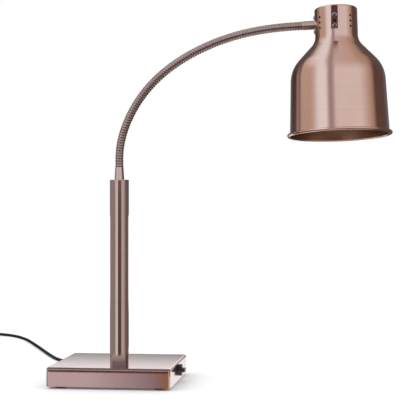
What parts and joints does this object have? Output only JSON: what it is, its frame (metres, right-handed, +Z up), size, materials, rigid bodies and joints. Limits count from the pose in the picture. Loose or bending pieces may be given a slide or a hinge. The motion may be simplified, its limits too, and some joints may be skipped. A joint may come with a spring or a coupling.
{
  "type": "flexible food heat lamp",
  "caption": "Free-standing heat lamp: weighted square base, post, ribbed gooseneck arching over, and a bell shade with a reflector bulb above the food.",
  "frame": {"origin": "centre of the square base, on the surface that the feet stand on", "axes": "+Z up the post; +X towards the head, within 4 degrees, and out of the side with the control knob; +Y to the back, where the cord leaves"},
  "size_m": [1.1387, 0.9717, 0.732],
  "materials": {
    "copper_sheet": "brushed copper plate, lacquered",
    "copper_tube": "brushed copper plate, lacquered",
    "copper_turned": "turned, copper plated",
    "copper_hose": "ribbed, copper plated",
    "copper_shade": "spun, brushed copper finish, lacquered",
    "steel_plate": "zinc plated",
    "cast_iron": "primed",
    "bright_screws": "bright nickel",
    "light_alloy": "milled",
    "brass": "plain",
    "bulb_cap": "nickel plated",
    "bulb_glass": "frosted face, mirrored funnel",
    "white_ceramic": "glazed",
    "white_plastic": "moulded",
    "black_plastic": "satin moulded",
    "pale_inlay": "paint filled line",
    "black_rubber": "matt",
    "black_cord": "smooth sheath"
  },
  "bodies": {
    "stand": {"base_shell": "copper_sheet", "base_floor": "steel_plate", "ballast_plate": "cast_iron", "floor_spacers": "steel_plate", "floor_screws": "bright_screws", "rubber_feet": "black_rubber", "foot_screws": "bright_screws", "post_tube": "copper_tube", "post_foot_plug": "steel_plate", "post_stud": "steel_plate", "stud_washer": "steel_plate", "stud_nut": "steel_plate", "post_cap": "copper_tube", "lower_ferrule": "copper_turned", "rotary_switch": "black_plastic", "switch_nut": "bright_screws", "cable_gland": "black_plastic", "gland_nut": "black_plastic", "strain_relief": "black_rubber", "terminal_block": "white_plastic", "inner_lead": "black_cord", "post_lead": "black_cord", "cord_tube": "black_cord", "cord_coil": "black_cord", "coil_ties": "black_plastic", "plug_body": "black_rubber", "plug_pins": "brass", "neck_link_01": "copper_hose"},
    "neck_02": {"neck_link_02": "copper_hose"},
    "neck_03": {"neck_link_03": "copper_hose"},
    "neck_04": {"neck_link_04": "copper_hose"},
    "neck_05": {"neck_link_05": "copper_hose"},
    "neck_06": {"neck_link_06": "copper_hose"},
    "neck_07": {"neck_link_07": "copper_hose"},
    "neck_08": {"neck_link_08": "copper_hose"},
    "neck_09": {"neck_link_09": "copper_hose"},
    "neck_10": {"neck_link_10": "copper_hose"},
    "neck_11": {"neck_link_11": "copper_hose"},
    "head": {"neck_link_12": "copper_hose", "upper_ferrule": "copper_turned", "arm_clamp": "light_alloy", "ferrule_nut": "steel_plate", "arm_screws": "bright_screws", "shade": "copper_shade", "holder_bracket": "steel_plate", "bracket_screws": "bright_screws", "bracket_nuts": "bright_screws", "holder_nipple": "steel_plate", "nipple_nut": "brass", "lamp_holder": "white_ceramic", "screw_shell": "brass", "bulb_cap": "bulb_cap", "bulb_glass": "bulb_glass", "head_lead": "black_cord"},
    "knob": {"control_knob": "black_plastic", "knob_pointer": "pale_inlay", "switch_shaft": "steel_plate"}
  },
  "joints": [
    {"name": "neck_bend_lower", "type": "hinge", "parent": "stand", "child": "neck_02", "pos_m": [0.00471, -0.00033, 0.48292], "axis": [0.0698, 0.9976, 0], "range_deg": [-13, 4]},
    {"name": "neck_bend_lower_2", "type": "hinge", "parent": "neck_02", "child": "neck_03", "pos_m": [0.01759, -0.00123, 0.52041], "axis": [0.0698, 0.9976, 0], "range_deg": [-13, 4]},
    {"name": "neck_sway", "type": "hinge", "parent": "neck_03", "child": "neck_04", "pos_m": [0.03671, -0.00257, 0.55512], "axis": [-0.8319, 0.0582, 0.5519], "range_deg": [-10, 10]},
    {"name": "neck_bend_lower_3", "type": "hinge", "parent": "neck_04", "child": "neck_05", "pos_m": [0.06109, -0.00427, 0.58635], "axis": [0.0698, 0.9976, 0], "range_deg": [-13, 4]},
    {"name": "neck_bend_lower_4", "type": "hinge", "parent": "neck_05", "child": "neck_06", "pos_m": [0.09, -0.00629, 0.61343], "axis": [0.0698, 0.9976, 0], "range_deg": [-13, 4]},
    {"name": "neck_sway_2", "type": "hinge", "parent": "neck_06", "child": "neck_07", "pos_m": [0.1224, -0.00856, 0.63621], "axis": [-0.5197, 0.0363, 0.8536], "range_deg": [-10, 10]},
    {"name": "neck_bend_upper", "type": "hinge", "parent": "neck_07", "child": "neck_08", "pos_m": [0.15722, -0.01099, 0.65509], "axis": [0.0698, 0.9976, 0], "range_deg": [-8, 6.5]},
    {"name": "neck_bend_upper_2", "type": "hinge", "parent": "neck_08", "child": "neck_09", "pos_m": [0.19375, -0.01355, 0.6704], "axis": [0.0698, 0.9976, 0], "range_deg": [-8, 6.5]},
    {"name": "neck_sway_3", "type": "hinge", "parent": "neck_09", "child": "neck_10", "pos_m": [0.23154, -0.01619, 0.6822], "axis": [-0.2515, 0.0176, 0.9677], "range_deg": [-10, 10]},
    {"name": "neck_bend_upper_3", "type": "hinge", "parent": "neck_10", "child": "neck_11", "pos_m": [0.27027, -0.0189, 0.69046], "axis": [0.0698, 0.9976, 0], "range_deg": [-8, 6.5]},
    {"name": "neck_bend_upper_4", "type": "hinge", "parent": "neck_11", "child": "head", "pos_m": [0.30955, -0.02165, 0.69546], "axis": [0.0698, 0.9976, 0], "range_deg": [-8, 6.5]},
    {"name": "knob_turn", "type": "hinge", "parent": "stand", "child": "knob", "pos_m": [0.12, -0.005, 0.025], "axis": [1, 0, 0], "range_deg": [0, 270]}
  ],
  "couplings": [
    {"joint": "neck_bend_lower_2", "follows": "neck_bend_lower", "ratio": 1},
    {"joint": "neck_bend_lower_3", "follows": "neck_bend_lower", "ratio": 1},
    {"joint": "neck_bend_lower_4", "follows": "neck_bend_lower", "ratio": 1},
    {"joint": "neck_sway_2", "follows": "neck_sway", "ratio": 1},
    {"joint": "neck_bend_upper_2", "follows": "neck_bend_upper", "ratio": 1},
    {"joint": "neck_sway_3", "follows": "neck_sway", "ratio": 1},
    {"joint": "neck_bend_upper_3", "follows": "neck_bend_upper", "ratio": 1},
    {"joint": "neck_bend_upper_4", "follows": "neck_bend_upper", "ratio": 1}
  ]
}
